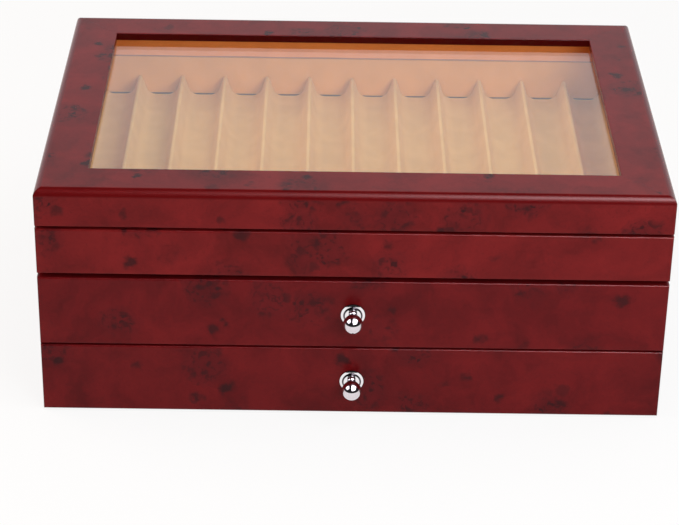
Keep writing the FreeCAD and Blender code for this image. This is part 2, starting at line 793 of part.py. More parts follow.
def lid_leaves():
    """The upper leaves: a plate, one middle knuckle and the heel that stops the lid."""
    body = new_body("hinge_lid_leaves")
    block(body, "Pad", "hinge_x - leaf_length / 2", "hinge_x + leaf_length / 2",
          "half_depth - leaf_depth", "leaf_end_y",
          "hinge_z + leaf_gap / 2", "hinge_z + leaf_gap / 2 + leaf_thickness")
    barrel(body)
    for near_end, far_end in (
        ("hinge_x - leaf_length / 2", "hinge_x - knuckle_length / 2"),
        ("hinge_x + knuckle_length / 2", "hinge_x + leaf_length / 2"),
    ):
        block(body, "Pocket", near_end, far_end, "hinge_y - knuckle_room",
              "hinge_y + knuckle_room", "hinge_z - knuckle_room", "hinge_z + knuckle_room")
    heel = new_sketch(body, "YZ_Plane", ("hinge_y", "hinge_z", "hinge_x"))
    stop = "(barrel_diameter / 2 + barrel_gap - leaf_thickness - heel_play)"
    corner_reach = "sqrt(heel_length ^ 2 + heel_thickness ^ 2 / 4)"
    swing = (f"(lid_opening * 1 deg - 90 deg - asin({stop} / {corner_reach})"
             " + atan(heel_thickness / 2 / heel_length))")
    root = "(barrel_diameter + pin_diameter) / 4"
    corners = []
    for reach, side in ((root, "-"), ("heel_length", "-"), ("heel_length", "+"), (root, "+")):
        half = f"{side} heel_thickness / 2"
        corners.append((
            f"{reach} * cos({swing}) - ({half}) * sin({swing})",
            f"{reach} * sin({swing}) + ({half}) * cos({swing})",
        ))
    draw_outline(heel, corners)
    extrude(body, "Pad", heel, "knuckle_length")
    countersink(body, "+")
    mirror_left_to_right(body)
    return finish(body)


def hinge_pins():
    """A headed pin through the three knuckles of each hinge."""
    body = new_body("hinge_pins")
    half = "leaf_length / 2"
    shank, head = "pin_diameter / 2", "pin_head_diameter / 2"
    turn(body, "Revolution", "XY_Plane", ("hinge_x", "hinge_y", "hinge_z"), [
        (f"-({half} + pin_head_height)", "0"),
        (f"{half} + pin_head_height", "0"),
        (f"{half} + pin_head_height", head),
        (half, head),
        (half, shank),
        (f"-({half})", shank),
        (f"-({half})", head),
        (f"-({half} + pin_head_height)", head),
    ], axis="H_Axis")
    mirror_left_to_right(body)
    return finish(body)


def hinge_screws(label, way):
    """Four countersunk wood screws, two to a leaf. way is + or -, the way they point."""
    body = new_body(label)
    place = ("hinge_x - wood_screw_spread / 2", f"hinge_z {way} leaf_gap / 2", "-screw_y")
    slope = "(wood_screw_head - wood_screw_diameter) / 2"
    turn(body, "Revolution", "XZ_Plane", place, [
        ("0", "0"),
        ("wood_screw_head / 2", "0"),
        ("wood_screw_diameter / 2", f"{way}({slope})"),
        ("wood_screw_diameter / 2", f"{way}(wood_screw_length - wood_screw_diameter)"),
        ("0", f"{way}(wood_screw_length - screw_play)"),
    ])
    repeat_across(body, "wood_screw_spread")
    mirror_left_to_right(body)
    return finish(body)


def hinges():
    base_leaves()
    lid_leaves()
    hinge_pins()
    hinge_screws("hinge_base_screws", "-")
    hinge_screws("hinge_lid_screws", "+")


# ---------------------------------------------------------------------------------------
# The chest, from the base up
# ---------------------------------------------------------------------------------------
carcass()
lining_strips("tier", "floor_top", "tier_top")
pen_tray("tier_pen_tray", "lined_x - tray_side_gap", "tray_end_gap - lined_y",
         "lined_y - tray_end_gap", "floor_top", "top_channels")
drawer("lower_drawer", "felt_thickness", "base_top")
drawer("upper_drawer", "upper_z", "divider_top")
lid()
lid_bumpers()
hinges()
doc.recompute()

for item in doc.Objects:
    if "Invalid" in item.State or "Error" in item.State:
        raise RuntimeError(f"{item.Label} failed: {item.State}")
os.makedirs("parts", exist_ok=True)
for part in sub_parts:
    shape = part.Shape
    if shape.isNull() or not shape.isValid() or not shape.Solids:
        raise RuntimeError(f"{part.Label} has no sound solid")
for part in sub_parts:
    part.Shape.exportStep(f"parts/{part.Label}.step")
    print(part.Label, len(part.Shape.Solids), round(part.Shape.Volume, 2))
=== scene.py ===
from math import asin, cos, pi, radians, sin

import bmesh
import bpy
from mathutils import Matrix, Vector


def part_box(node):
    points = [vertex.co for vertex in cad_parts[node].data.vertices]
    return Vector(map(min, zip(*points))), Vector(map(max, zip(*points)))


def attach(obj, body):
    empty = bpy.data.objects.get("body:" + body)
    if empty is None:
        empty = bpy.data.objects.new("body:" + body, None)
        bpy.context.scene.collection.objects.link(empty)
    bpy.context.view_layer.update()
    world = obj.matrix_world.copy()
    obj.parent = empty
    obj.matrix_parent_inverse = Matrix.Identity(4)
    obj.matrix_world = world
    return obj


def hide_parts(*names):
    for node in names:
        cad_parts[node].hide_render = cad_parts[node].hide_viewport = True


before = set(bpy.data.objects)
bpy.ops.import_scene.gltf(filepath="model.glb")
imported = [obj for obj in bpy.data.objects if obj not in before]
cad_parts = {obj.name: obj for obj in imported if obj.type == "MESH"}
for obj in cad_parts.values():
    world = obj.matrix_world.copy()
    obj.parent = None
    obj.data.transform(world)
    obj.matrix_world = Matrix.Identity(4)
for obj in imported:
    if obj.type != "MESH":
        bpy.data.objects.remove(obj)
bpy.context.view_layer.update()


# ------------------------------------------------------------------------------------
# Shelves of the carcass: base, drawer divider and the top compartment's floor.
# Fibreboard 5 mm thick, stained dark red to go with the lacquer and slid into grooves
# in the walls before the case is glued up.
# ------------------------------------------------------------------------------------
STREAK_WIDTH = 0.006
STREAK_RELIEF = 0.00003
STREAK_SHADES = (
    (0.30, (0.060, 0.0050, 0.0050)),
    (0.70, (0.100, 0.0085, 0.0075)),
)
STAIN_CLOUD_SIZE = 0.05
STAIN_CLOUD_SHADE = (0.075, 0.006, 0.006, 1)
STREAKS_SIDE_TO_SIDE = (0.15, 1, 1)


class Finish:
    """A finish in the making, for a new material or for the world handed in as owner.
    Each call of add joins one more node on and returns it."""

    def __init__(self, name, owner=None):
        self.owner = owner or bpy.data.materials.new(name)
        self.owner.use_nodes = True
        self.tree = self.owner.node_tree
        self.tree.nodes.clear()

    def add(self, kind, inputs=(), **settings):
        node = self.tree.nodes.new("ShaderNode" + kind)
        for key, value in settings.items():
            setattr(node, key, value)
        for key, value in dict(inputs).items():
            if isinstance(value, bpy.types.Node):
                value = value.outputs[0]
            if isinstance(value, bpy.types.NodeSocket):
                self.tree.links.new(value, node.inputs[key])
            else:
                node.inputs[key].default_value = value
        return node

    def object_place(self, shift=(0, 0, 0), stretch=(1, 1, 1)):
        """Where a point is on the object itself, moved and stretched for the figure."""
        place = self.add("TexCoord").outputs["Object"]
        return self.add("Mapping", {"Vector": place, "Location": shift, "Scale": stretch})

    def grains(self, place, size, detail=2, rough=0.5, swirl=0.0):
        """Soft random mottling whose lumps are about size metres across."""
        return self.add("TexNoise", {
            "Vector": place, "Scale": 1 / size, "Detail": detail,
            "Roughness": rough, "Distortion": swirl,
        })

    def between(self, value, low, high):
        """0 below low, 1 above high and a smooth rise in between. With low above high it
        is a fall, from 1 below high to 0 above low."""
        return self.add(
            "MapRange", {"Value": value, "From Min": low, "From Max": high},
            interpolation_type="SMOOTHSTEP")

    def calc(self, operation, first, second=0.0, third=0.0):
        return self.add("Math", {0: first, 1: second, 2: third}, operation=operation)

    def blend(self, share, first, second, way="MIX"):
        """Lay the second colour over the first by share."""
        node = self.add(
            "Mix", {0: share, 6: first, 7: second}, data_type="RGBA", blend_type=way)
        return node.outputs[2]

    def shades(self, value, *stops):
        """Colours laid along a value, as (place, colour) pairs."""
        node = self.add("ValToRGB", {"Fac": value})
        points = node.color_ramp.elements
        while len(points) < len(stops):
            points.new(position=1.0)
        for point, (place, colour) in zip(points, stops):
            point.position = place
            point.color = (*colour, 1)
        return node

    def relief(self, height, depth, under=None):
        """A surface that rises by depth metres where height is 1."""
        inputs = {"Height": height, "Distance": depth, "Strength": 1.0}
        if under is not None:
            inputs["Normal"] = under
        return self.add("Bump", inputs)

    def close(self, shader):
        """Join the shader to the output, and return the material or world."""
        output = self.add("OutputMaterial")
        self.tree.links.new(shader.outputs[0], output.inputs["Surface"])
        return self.owner


def dress(finish, *nodes):
    """Give CAD pieces their finish."""
    for name in nodes:
        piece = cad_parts[name]
        if not piece.material_slots:
            piece.data.materials.append(finish)
        for slot in piece.material_slots:
            slot.material = finish


def stained_board(name, streaks_way):
    """Smooth dark red stain, faintly streaked along the way that is stretched."""
    stain = Finish(name)
    place = stain.object_place(stretch=streaks_way)
    streaks = stain.grains(place, STREAK_WIDTH, detail=4, rough=0.6)
    cloud = stain.grains(stain.object_place(), STAIN_CLOUD_SIZE)
    colour = stain.shades(streaks, *STREAK_SHADES)
    board = stain.add("BsdfPrincipled", {
        "Base Color": stain.blend(cloud, colour, STAIN_CLOUD_SHADE),
        "Roughness": 0.42,
        "IOR": 1.4,
        "Normal": stain.relief(streaks, STREAK_RELIEF),
    })
    return stain.close(board)


board_stain = stained_board("board_stain", STREAKS_SIDE_TO_SIDE)
dress(board_stain, "base_panel", "drawer_divider", "tier_floor")


# ------------------------------------------------------------------------------------
# Walls of the case: two sides, the back and the top compartment's front wall.
# Fibreboard 12 mm thick with a dark red burl figure, sprayed with clear lacquer and
# rubbed to a gloss. The front wall covers the ends of the sides.
# ------------------------------------------------------------------------------------
COARSE_LUMP, COARSE_PUSH = 0.017, 0.012
FINE_LUMP, FINE_PUSH = 0.0035, 0.0055

# Eyes lie one to a cell. Their reach is in cells, and share is the part of the cells
# that has one. An eye is darkest within EYE_HEART of its radius.
LONE_EYES = {"cell": 0.021, "reach": 0.28, "share": 0.78}
CROWDED_EYES = {"cell": 0.0072, "reach": 0.70, "share": 0.48}
PIN_EYES = {"cell": 0.0044, "reach": 0.66, "share": 0.45}
EYE_HEART = 0.35
EYE_STRENGTH = 0.95
EYE_SHADE = (0.026, 0.0040, 0.0052, 1)

# Rosettes lie one to a cell too. Their rings follow the sine of the distance from the
# heart, pushed about by lumps.
ROSETTE_CELL = 0.034
ROSETTE_SHARE = 0.75
ROSETTE_EDGE, ROSETTE_CORE = 0.46, 0.24
ROSETTE_VEIL = 0.30
ROSETTE_SHADE = (0.058, 0.0050, 0.0075, 1)
RING_RADIANS_PER_CELL = 50.0
RING_WANDER, RING_WANDER_LUMP = 13.0, 0.005
RING_LEVELS = (0.2, 1.0)
RING_BREAK_LUMP, RING_BREAK_LEVELS = 0.0026, (0.44, 0.58)
RING_STRENGTH = 0.55

CLOUD_SIZE = 0.030
CLOUD_LEVELS = (0.34, 0.50, 0.66)
FLECK_SIZE, FLECK_LEVELS = 0.0013, (0.5, 0.8)
FLECK_STRENGTH = 0.40
FLECK_SHADE = (0.062, 0.0030, 0.0040, 1)
RIPPLE_SIZE, RIPPLE_HEIGHT = 0.004, 0.000002
SOFTENED_EDGE = 0.00025

# The ground between the eyes, from its darkest clouds to its lightest.
BRIGHT_GROUND = (
    (0.100, 0.0048, 0.0054),
    (0.138, 0.0068, 0.0076),
    (0.172, 0.0090, 0.0096),
)
CASE_FIGURE = (0.31, 0.12, 0.05)
TIER_FIGURE = (1.13, 0.42, 0.27)


def burl_lacquer(name, shift, ground_shades, edge_tone_and_shade=None):
    """Burl under clear gloss. shift moves the figure, so that it doesn't run on from one
    board to the next. edge_tone_and_shade, where a board has one, darkens its edges with
    toner and painted shade."""
    burl = Finish(name)
    place = burl.object_place(shift=shift)

    def pushed(spot, lump, reach):
        """Push the figure about in lumps of that size, so that nothing in it is round."""
        push = burl.add("VectorMath", {
            0: burl.grains(place, lump).outputs["Color"], "Scale": reach,
        }, operation="SCALE")
        return burl.add("VectorMath", {0: spot, 1: push}, operation="ADD")

    bent = pushed(pushed(place, COARSE_LUMP, COARSE_PUSH), FINE_LUMP, FINE_PUSH)

    def eyes(cell, reach, share):
        """Dark eyes, each with half to all of the reach and half to all of the depth."""
        cells = burl.add("TexVoronoi", {"Vector": bent, "Scale": 1 / cell})
        lot = burl.add("SeparateColor", {"Color": cells.outputs["Color"]})
        rim = burl.calc("MULTIPLY_ADD", lot.outputs[1], reach / 2, reach / 2)
        heart = burl.calc("MULTIPLY", rim, EYE_HEART)
        dark = burl.between(cells.outputs["Distance"], rim, heart)
        depth = burl.calc("MULTIPLY_ADD", lot.outputs[2], 0.5, 0.5)
        chosen = burl.calc("LESS_THAN", lot, share)
        return burl.calc("MULTIPLY", burl.calc("MULTIPLY", dark, chosen), depth)

    # Eyes crowd together in rosettes, with broken rings of growth round them.
    rosettes = burl.add("TexVoronoi", {"Vector": bent, "Scale": 1 / ROSETTE_CELL})
    from_heart = rosettes.outputs["Distance"]
    lot = burl.add("SeparateColor", {"Color": rosettes.outputs["Color"]})
    rosette = burl.calc(
        "MULTIPLY", burl.between(from_heart, ROSETTE_EDGE, ROSETTE_CORE),
        burl.calc("LESS_THAN", lot, ROSETTE_SHARE))
    crowd = burl.calc("MAXIMUM", eyes(**CROWDED_EYES), eyes(**PIN_EYES))
    wander = burl.calc(
        "MULTIPLY", burl.grains(place, RING_WANDER_LUMP, detail=3), RING_WANDER)
    turns = burl.calc("MULTIPLY_ADD", from_heart, RING_RADIANS_PER_CELL, wander)
    broken = burl.between(burl.grains(bent, RING_BREAK_LUMP), *RING_BREAK_LEVELS)
    rings = burl.between(burl.calc("SINE", turns), *RING_LEVELS)
    rings = burl.calc("MULTIPLY", rings, RING_STRENGTH)
    rings = burl.calc("MULTIPLY", rings, broken)
    crowd = burl.calc("MULTIPLY", burl.calc("MAXIMUM", crowd, rings), rosette)
    eye = burl.calc("MAXIMUM", crowd, eyes(**LONE_EYES))

    clouds = burl.grains(bent, CLOUD_SIZE, detail=4, rough=0.62, swirl=0.5)
    ground = burl.shades(clouds, *zip(CLOUD_LEVELS, ground_shades))
    veil = burl.calc("MULTIPLY", rosette, ROSETTE_VEIL)
    ground = burl.blend(veil, ground, ROSETTE_SHADE)
    flecks = burl.between(
        burl.grains(bent, FLECK_SIZE, detail=3, rough=0.6), *FLECK_LEVELS)
    ground = burl.blend(burl.calc("MULTIPLY", flecks, FLECK_STRENGTH), ground, FLECK_SHADE)
    figure = burl.blend(burl.calc("MULTIPLY", eye, EYE_STRENGTH), ground, EYE_SHADE)
    if edge_tone_and_shade:
        figure = edge_tone_and_shade(burl, figure)

    ripple = burl.grains(place, RIPPLE_SIZE, detail=1)
    edge = burl.add("Bevel", {"Radius": SOFTENED_EDGE}, samples=4)
    board = burl.add("BsdfPrincipled", {
        "Base Color": figure,
        "Roughness": 0.22,
        "IOR": 1.21,
        "Normal": burl.relief(ripple, RIPPLE_HEIGHT, edge),
    })
    return burl.close(board)


case_burl = burl_lacquer("case_burl", CASE_FIGURE, BRIGHT_GROUND)
dress(case_burl, "left_side", "right_side", "back_panel")
tier_burl = burl_lacquer("tier_burl", TIER_FIGURE, BRIGHT_GROUND)
dress(tier_burl, "tier_front")


# ------------------------------------------------------------------------------------
# Felt sheet under the base: thin dark felt, cut a little inside the edges and glued on
# so that the chest doesn't scratch the table.
# ------------------------------------------------------------------------------------
FELT_HAIR, FELT_RELIEF = 0.0006, 0.0003
FELT_SHADES = (
    (0.3, (0.008, 0.006, 0.006)),
    (0.7, (0.028, 0.018, 0.018)),
)

felt = Finish("base_felt")
felt_hairs = felt.grains(felt.object_place(), FELT_HAIR, detail=4, rough=0.7)
felt_sheet = felt.add("BsdfPrincipled", {
    "Base Color": felt.shades(felt_hairs, *FELT_SHADES),
    "Roughness": 0.95,
    "Sheen Weight": 0.3,
    "Normal": felt.relief(felt_hairs, FELT_RELIEF),
})
dress(felt.close(felt_sheet), "base_felt")


# ------------------------------------------------------------------------------------
# Lining of the top compartment: four card strips flocked in tan, glued to the walls
# down to its floor. The back and front strips run full length. Along the foot of
# the back strip, behind the tray's channel ends, painted shade darkens the flock.
# ------------------------------------------------------------------------------------
NAP_SIZE, NAP_LEVELS = 0.012, (0.3, 0.7)
FIBRE_SIZE, FIBRE_LEVELS, FIBRE_RELIEF = 0.00035, (0.45, 0.8), 0.00012
SHADE_LINE_LUMP, SHADE_LINE_WANDER, SHADE_LINE_EDGE = 0.035, 0.0008, 0.0001

LINING_SHADES = (0.82, 0.335, 0.100, 1), (0.74, 0.295, 0.084, 1)
BACK_LINING_SHADES = (0.82, 0.390, 0.108, 1), (0.74, 0.345, 0.091, 1)
# Painted shade along the foot of the back strip, in the gap behind the tray's channel
# ends.
GAP_SHADE_HEIGHT = 0.0024
GAP_PAINTED_SHADE = (0.050, 0.022, 0.018, 1)


def flocking(name, light, dark, foot=None, foot_painted_shade=None):
    """Short dense tan fibres: matt, softly mottled, brightening where seen from the side.
    foot is the height under which they turn to foot_painted_shade: painted shade along the
    lower edge."""
    flock = Finish(name)
    place = flock.object_place()
    nap = flock.grains(place, NAP_SIZE, detail=3, rough=0.6)
    fibres = flock.grains(place, FIBRE_SIZE, detail=3, rough=0.7)
    colour = flock.blend(flock.between(nap, *NAP_LEVELS), dark, light)
    colour = flock.blend(flock.between(fibres, *FIBRE_LEVELS), colour, dark)
    # Painted shade below foot, with an edge that wanders a little.
    if foot:
        height = flock.add("SeparateXYZ", {0: place}).outputs["Z"]
        shade_line = flock.calc(
            "MULTIPLY_ADD", flock.grains(place, SHADE_LINE_LUMP, detail=1), SHADE_LINE_WANDER,
            foot - SHADE_LINE_WANDER / 2)
        below = flock.between(
            flock.calc("SUBTRACT", height, shade_line), SHADE_LINE_EDGE, -SHADE_LINE_EDGE)
        colour = flock.blend(below, colour, foot_painted_shade)
    fibre_bed = flock.add("BsdfPrincipled", {
        "Base Color": colour,
        "Roughness": 0.92,
        "Specular IOR Level": 0.1,
        "Sheen Weight": 0.12,
        "Sheen Roughness": 0.5,
        "Sheen Tint": (0.9, 0.7, 0.5, 1),
        "Normal": flock.relief(fibres, FIBRE_RELIEF),
    })
    return flock.close(fibre_bed)


lining_flock = flocking("lining_flock", *LINING_SHADES)
dress(lining_flock, *(f"tier_lining_{side}" for side in ("front", "left", "right")))
# The back strip's foot is painted dark: painted shade behind the tray's channel ends.
gap_shaded_flock = flocking(
    "gap_shaded_lining_flock", *BACK_LINING_SHADES,
    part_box("tier_lining_back")[0].z + GAP_SHADE_HEIGHT, GAP_PAINTED_SHADE)
dress(gap_shaded_flock, "tier_lining_back")


# ------------------------------------------------------------------------------------
# Pen tray of the top compartment: one sheet formed into twelve channels with rounded
# bottoms, and flocked. It drops in between the linings onto the compartment's floor.
# ------------------------------------------------------------------------------------
TRAY_SHADES = (0.80, 0.497, 0.198, 1), (0.72, 0.433, 0.166, 1)
TOP_CHANNELS = 12
CHANNEL_DEPTH = 0.0125
CHANNEL_WEB = 0.002
CHANNEL_RADIUS = 0.0065
CHANNEL_LEAN = radians(18)
CHANNEL_STEPS = 12
RIDGE_RADIUS = 0.001
RIDGE_FLAT = 0.0004
RIDGE_STEPS = 6
TRAY_CREASE = radians(50)


def channel_outline(pitch):
    """One channel's surface from ridge to ridge, as (across, up) from its middle."""
    mouth = (pitch - RIDGE_FLAT) / 2
    wall_turn = pi / 2 - CHANNEL_LEAN
    crest = mouth - RIDGE_RADIUS * cos(CHANNEL_LEAN)
    shoulder = CHANNEL_DEPTH - RIDGE_RADIUS * (1 - sin(CHANNEL_LEAN))
    bend_up = CHANNEL_RADIUS * (1 - sin(CHANNEL_LEAN))
    bend = crest - (shoulder - bend_up) * sin(CHANNEL_LEAN) / cos(CHANNEL_LEAN)
    flat = bend - CHANNEL_RADIUS * cos(CHANNEL_LEAN)
    half = [(0.0, 0.0)]
    for step in range(CHANNEL_STEPS + 1):
        turn = step / CHANNEL_STEPS * wall_turn
        half.append((flat + CHANNEL_RADIUS * sin(turn), CHANNEL_RADIUS * (1 - cos(turn))))
    for step in range(RIDGE_STEPS + 1):
        turn = (1 - step / RIDGE_STEPS) * wall_turn
        half.append((mouth - RIDGE_RADIUS * sin(turn),
                     CHANNEL_DEPTH - RIDGE_RADIUS * (1 - cos(turn))))
    return [(-across, up) for across, up in reversed(half[1:])] + half


def drawn_piece(name, mesh, finish, crease):
    """A piece from a drawn mesh, smooth wherever its faces meet at less than crease."""
    bmesh.ops.recalc_face_normals(mesh, faces=mesh.faces)
    data = bpy.data.meshes.new(name)
    mesh.to_mesh(data)
    mesh.free()
    data.shade_smooth()
    data.set_sharp_from_angle(angle=crease)
    data.materials.append(finish)
    piece = bpy.data.objects.new(name, data)
    bpy.context.collection.objects.link(piece)
    return piece


def formed_tray(name, cad_name, channels, body):
    """A flocked tray drawn finely over the CAD block that it stands for."""
    low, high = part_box(cad_name)
    pitch = (high.x - low.x) / channels
    outline = [(low.x, low.z), (low.x, high.z)]
    for number in range(channels):
        middle = low.x + (number + 0.5) * pitch
        outline += [
            (middle + across, low.z + CHANNEL_WEB + up)
            for across, up in channel_outline(pitch)
        ]
    outline += [(high.x, high.z), (high.x, low.z)]
    mesh = bmesh.new()
    ends = [
        [mesh.verts.new((across, along, up)) for across, up in outline]
        for along in (low.y, high.y)
    ]
    count = len(outline)
    for index in range(count):
        after = (index + 1) % count
        mesh.faces.new((ends[0][index], ends[1][index], ends[1][after], ends[0][after]))
    mesh.faces.new(ends[0])
    mesh.faces.new(list(reversed(ends[1])))
    tray = drawn_piece(name, mesh, tray_flock, TRAY_CREASE)
    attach(tray, body)
    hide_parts(cad_name)


tray_flock = flocking("tray_flock", *TRAY_SHADES)
formed_tray("tier_channels", "tier_pen_tray", TOP_CHANNELS, "cabinet")


# ------------------------------------------------------------------------------------
# Drawers: an overlay front in burl lacquer, and a box of 6 mm stained sides and back
# with a thin bottom in grooves. Each slides on the shelf below it.
# ------------------------------------------------------------------------------------
STREAKS_FRONT_TO_BACK = (1, 0.15, 1)
DRAWER_CHANNELS = 11
DRAWER_FIGURES = {"upper_drawer": (2.37, 0.71, 0.33), "lower_drawer": (3.61, 0.23, 0.52)}
DEEP_GROUND = (
    (0.083, 0.0032, 0.0044),
    (0.114, 0.0046, 0.0060),
    (0.140, 0.0062, 0.0074),
)

box_stain = stained_board("drawer_box_stain", STREAKS_FRONT_TO_BACK)
for drawer, figure in DRAWER_FIGURES.items():
    dress(burl_lacquer(f"{drawer}_burl", figure, DEEP_GROUND), f"{drawer}_front")
    dress(box_stain, f"{drawer}_left_side", f"{drawer}_right_side", f"{drawer}_back")
    dress(board_stain, f"{drawer}_bottom")
    dress(lining_flock, f"{drawer}_lining")
    formed_tray(f"{drawer}_channels", f"{drawer}_pen_tray", DRAWER_CHANNELS, drawer)


# ------------------------------------------------------------------------------------
# Knobs: a domed plate with a ball on a short neck, turned in brass and chrome plated.
# One zinc plated machine screw from inside the front holds both.
# ------------------------------------------------------------------------------------
PLATE_RADIUS = 0.0066
PLATE_RIM = 0.0005
PLATE_THICKNESS = 0.0020
PLATE_SOFT_EDGE = 0.00008
FLANGE_BOW = 0.00002
STEP_RADIUS = 0.0050
STEP_REACH = 0.0010
STEP_HEIGHT = 0.00035
DOME_BOW = 0.00004
BOW_STEPS = 8
NECK_RADIUS = 0.0023
NECK_FLARE = 0.0003
NECK_FLARE_REACH = 0.0004
BALL_RADIUS = 0.0054
BALL_REACH = 0.0102
BALL_STEPS = 40
LATHE_STEPS = 96
KNOB_CREASE = radians(35)

WIPE_SIZE, WIPE_RELIEF = 0.0009, 0.0000006
BALL_CHROME_SHADES = (0.66, 0.59, 0.63, 1), (0.80, 0.74, 0.77, 1)
PLATE_CHROME_SHADES = (0.84, 0.82, 0.84, 1), (0.90, 0.87, 0.885, 1)
# Painted shade and a painted dark reflection on the plate: a ring at its step, and its
# steep walls.
SHADED_RING = (0.0044, 0.0052)
SHADED_RING_FADE_OUT, SHADED_RING_FADE_IN = 0.0002, 0.0001
SHADED_WALL_STEEPNESS = (0.75, 0.45)
PAINTED_RING_SHADE = (0.07, 0.06, 0.07, 1)
ZINC_GRAIN, ZINC_RELIEF = 0.0003, 0.000004


def chrome_plating(name, wiped, bright, shaded_ring=None):
    """Chrome, a little uneven where it was wiped. Between the two radii of shaded_ring,
    and on that piece's steep walls, it is painted dark: painted shade and a painted dark
    reflection."""
    chrome = Finish(name)
    place = chrome.object_place()
    wipe = chrome.grains(place, WIPE_SIZE)
    colour = chrome.blend(wipe, wiped, bright)
    # Painted shade and dark reflection on the plate's step ring and steep walls.
    if shaded_ring:
        spot = chrome.add("SeparateXYZ", {0: place})
        radius = chrome.calc("SQRT", chrome.calc(
            "ADD", chrome.calc("POWER", spot.outputs["X"], 2.0),
            chrome.calc("POWER", spot.outputs["Z"], 2.0)))
        inner, outer = shaded_ring
        ring = chrome.calc(
            "MULTIPLY",
            chrome.between(radius, inner - SHADED_RING_FADE_OUT, inner + SHADED_RING_FADE_IN),
            chrome.between(radius, outer + SHADED_RING_FADE_OUT, outer - SHADED_RING_FADE_IN))
        facing = chrome.add("SeparateXYZ", {0: chrome.add("TexCoord").outputs["Normal"]})
        steep = chrome.between(
            chrome.calc("ABSOLUTE", facing.outputs["Y"]), *SHADED_WALL_STEEPNESS)
        colour = chrome.blend(chrome.calc("MAXIMUM", ring, steep), colour, PAINTED_RING_SHADE)
    plating = chrome.add("BsdfPrincipled", {
        "Base Color": colour,
        "Metallic": 1.0,
        "Roughness": 0.05,
        "Normal": chrome.relief(wipe, WIPE_RELIEF),
    })
    return chrome.close(plating)


def turned(name, outline, centre, finish):
    """Spin an outline of (radius, reach forward) round the knob's axis."""
    mesh = bmesh.new()
    rings = []
    for radius, reach in outline:
        if radius == 0.0:
            rings.append([mesh.verts.new((0, -reach, 0))])
            continue
        ring = []
        for step in range(LATHE_STEPS):
            turn = 2 * pi * step / LATHE_STEPS
            ring.append(mesh.verts.new((radius * cos(turn), -reach, radius * sin(turn))))
        rings.append(ring)
    for first, second in zip(rings, rings[1:]):
        for step in range(LATHE_STEPS):
            after = (step + 1) % LATHE_STEPS
            corners = [first[step % len(first)], first[after % len(first)],
                       second[after % len(second)], second[step % len(second)]]
            # On the axis two corners are one, and the face is a triangle.
            mesh.faces.new(list(dict.fromkeys(corners)))
    piece = drawn_piece(name, mesh, finish, KNOB_CREASE)
    piece.location = centre
    return piece


def bowed(start, end, bow):
    """Points from start to end on a line that bulges forward by bow in its middle."""
    return [
        (start[0] + (end[0] - start[0]) * share,
         start[1] + (end[1] - start[1]) * share + bow * 4 * share * (1 - share))
        for share in (step / BOW_STEPS for step in range(BOW_STEPS + 1))
    ]


def plate_outline():
    """The plate from the drawer front out: rim, sloping flange, step and raised dome."""
    soft = PLATE_SOFT_EDGE
    rim = [(0.0, 0.0), (PLATE_RADIUS - soft, 0.0), (PLATE_RADIUS, soft),
           (PLATE_RADIUS, PLATE_RIM - soft)]
    flange = bowed((PLATE_RADIUS - soft, PLATE_RIM + soft),
                   (STEP_RADIUS + soft, STEP_REACH), FLANGE_BOW)
    step_foot = [(STEP_RADIUS, STEP_REACH + soft)]
    dome = bowed((STEP_RADIUS - STEP_HEIGHT - soft, STEP_REACH + STEP_HEIGHT),
                 (NECK_RADIUS, PLATE_THICKNESS), DOME_BOW)
    return rim + flange + step_foot + dome + [(0.0, PLATE_THICKNESS)]


def ball_outline():
    """The neck, flared a little where it stands on the plate, and the ball."""
    start = asin(NECK_RADIUS / BALL_RADIUS)
    outline = [(NECK_RADIUS + NECK_FLARE, PLATE_THICKNESS),
               (NECK_RADIUS, PLATE_THICKNESS + NECK_FLARE_REACH)]
    for step in range(BALL_STEPS):
        turn = start + (pi - start) * step / BALL_STEPS
        outline.append((BALL_RADIUS * sin(turn), BALL_REACH - BALL_RADIUS * cos(turn)))
    return outline + [(0.0, BALL_REACH + BALL_RADIUS)]


ball_chrome = chrome_plating("knob_ball_chrome", *BALL_CHROME_SHADES)
# The plate's chrome carries painted shade and a painted dark reflection at its step and
# steep walls.
plate_chrome = chrome_plating("knob_plate_chrome", *PLATE_CHROME_SHADES, SHADED_RING)
KNOB_PIECES = {
    "knob_plate": (plate_outline(), plate_chrome),
    "knob": (ball_outline(), ball_chrome),
}
for drawer in DRAWER_FIGURES:
    low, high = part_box(f"{drawer}_front")
    centre = Vector((0, low.y, (low.z + high.z) / 2))
    for part, (outline, plating) in KNOB_PIECES.items():
        piece = turned(f"{drawer}_{part}_turned", outline, centre, plating)
        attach(piece, drawer)
        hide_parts(f"{drawer}_{part}")

zinc = Finish("screw_zinc")
zinc_skin = zinc.add("BsdfPrincipled", {
    "Base Color": (0.58, 0.58, 0.57, 1),
    "Metallic": 1.0,
    "Roughness": 0.34,
    "Normal": zinc.relief(zinc.grains(zinc.object_place(), ZINC_GRAIN), ZINC_RELIEF),
})
screw_zinc = zinc.close(zinc_skin)
dress(screw_zinc, *(f"{drawer}_knob_screw" for drawer in DRAWER_FIGURES))


# ------------------------------------------------------------------------------------
# Lid rails: four rails in the same burl lacquer, rounded along the top and mitred at the
# corners. A groove along their inner faces takes the glass.
# ------------------------------------------------------------------------------------
LID_FIGURE = (4.19, 0.37, 0.61)
ROUNDOVER = 0.0045
# The roundover: solid toner with no figure, made darker still as painted shade.
ROUNDOVER_DARKENING = 0.85
ROUNDOVER_TONE_AND_SHADE = (0.097, 0.0022, 0.0030, 1)
ROUNDOVER_FADE_IN, ROUNDOVER_FADE_UP = 0.0010, 0.0008
# Painted shade on the window's long inner faces, under the rails.
WINDOW_FADE_FROM, WINDOW_FADE_TO = 0.0003, 0.0001
WINDOW_FACING = (0.4, 0.6)
WINDOW_PAINTED_SHADE = (0.052, 0.0012, 0.0016, 1)

rail_low, rail_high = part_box("lid_front_rail")
rail_width = rail_high.y - rail_low.y
roundover_foot = rail_high.z - ROUNDOVER
lid_half_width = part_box("lid_right_rail")[1].x
lid_half_depth = -rail_low.y


